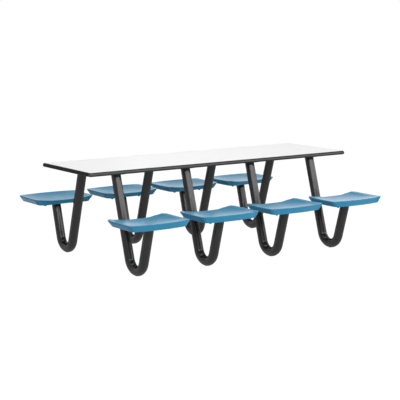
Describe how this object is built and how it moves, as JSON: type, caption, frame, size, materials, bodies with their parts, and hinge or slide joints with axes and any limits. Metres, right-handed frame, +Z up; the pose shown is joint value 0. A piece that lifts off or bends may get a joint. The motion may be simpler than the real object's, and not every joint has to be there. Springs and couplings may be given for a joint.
{
  "type": "cafeteria table with attached seats",
  "caption": "Long rectangular cafeteria table on V-shaped bent tube legs, each carrying the top on one arm and a moulded seat on the other.",
  "frame": {"origin": "on the floor under the middle of the table top", "axes": "+X along the table, +Y across it towards the rear seats, +Z up"},
  "size_m": [2.452, 1.775, 0.762],
  "materials": {
    "white_laminate": "smooth white high-pressure laminate with a fine texture",
    "core_board": "raw particleboard",
    "backing_sheet": "pale grey phenolic backing sheet",
    "black_edge": "satin black moulded edging",
    "black_frame": "semi-gloss black powder coat",
    "blue_seat": "moulded blue plastic with a soft sheen",
    "black_nylon": "moulded nylon",
    "zinc_steel": "bright zinc plate",
    "black_steel": "black oxide on steel, slightly oily",
    "insert_brass": "turned brass"
  },
  "bodies": {
    "root": {"cross_rail_1": "black_frame", "cross_rail_2": "black_frame", "cross_rail_3": "black_frame", "cross_rail_4": "black_frame", "edge_moulding": "black_edge", "floor_glides": "black_nylon", "frame_spine": "black_frame", "front_leg_1": "black_frame", "front_leg_2": "black_frame", "front_leg_3": "black_frame", "front_leg_4": "black_frame", "front_leg_plate_1": "black_frame", "front_leg_plate_2": "black_frame", "front_leg_plate_3": "black_frame", "front_leg_plate_4": "black_frame", "front_seat_1": "blue_seat", "front_seat_2": "blue_seat", "front_seat_3": "blue_seat", "front_seat_4": "blue_seat", "front_seat_plate_1": "black_frame", "front_seat_plate_2": "black_frame", "front_seat_plate_3": "black_frame", "front_seat_plate_4": "black_frame", "leg_bolts": "zinc_steel", "leg_nuts": "zinc_steel", "rear_leg_1": "black_frame", "rear_leg_2": "black_frame", "rear_leg_3": "black_frame", "rear_leg_4": "black_frame", "rear_leg_plate_1": "black_frame", "rear_leg_plate_2": "black_frame", "rear_leg_plate_3": "black_frame", "rear_leg_plate_4": "black_frame", "rear_seat_1": "blue_seat", "rear_seat_2": "blue_seat", "rear_seat_3": "blue_seat", "rear_seat_4": "blue_seat", "rear_seat_plate_1": "black_frame", "rear_seat_plate_2": "black_frame", "rear_seat_plate_3": "black_frame", "rear_seat_plate_4": "black_frame", "seat_bolts": "black_steel", "seat_inserts": "insert_brass", "seat_washers": "black_steel", "spine_bolts": "zinc_steel", "spine_nuts": "zinc_steel", "table_core": "core_board", "table_screws": "zinc_steel", "top_laminate": "white_laminate", "underside_backer": "backing_sheet"}
  },
  "joints": []
}
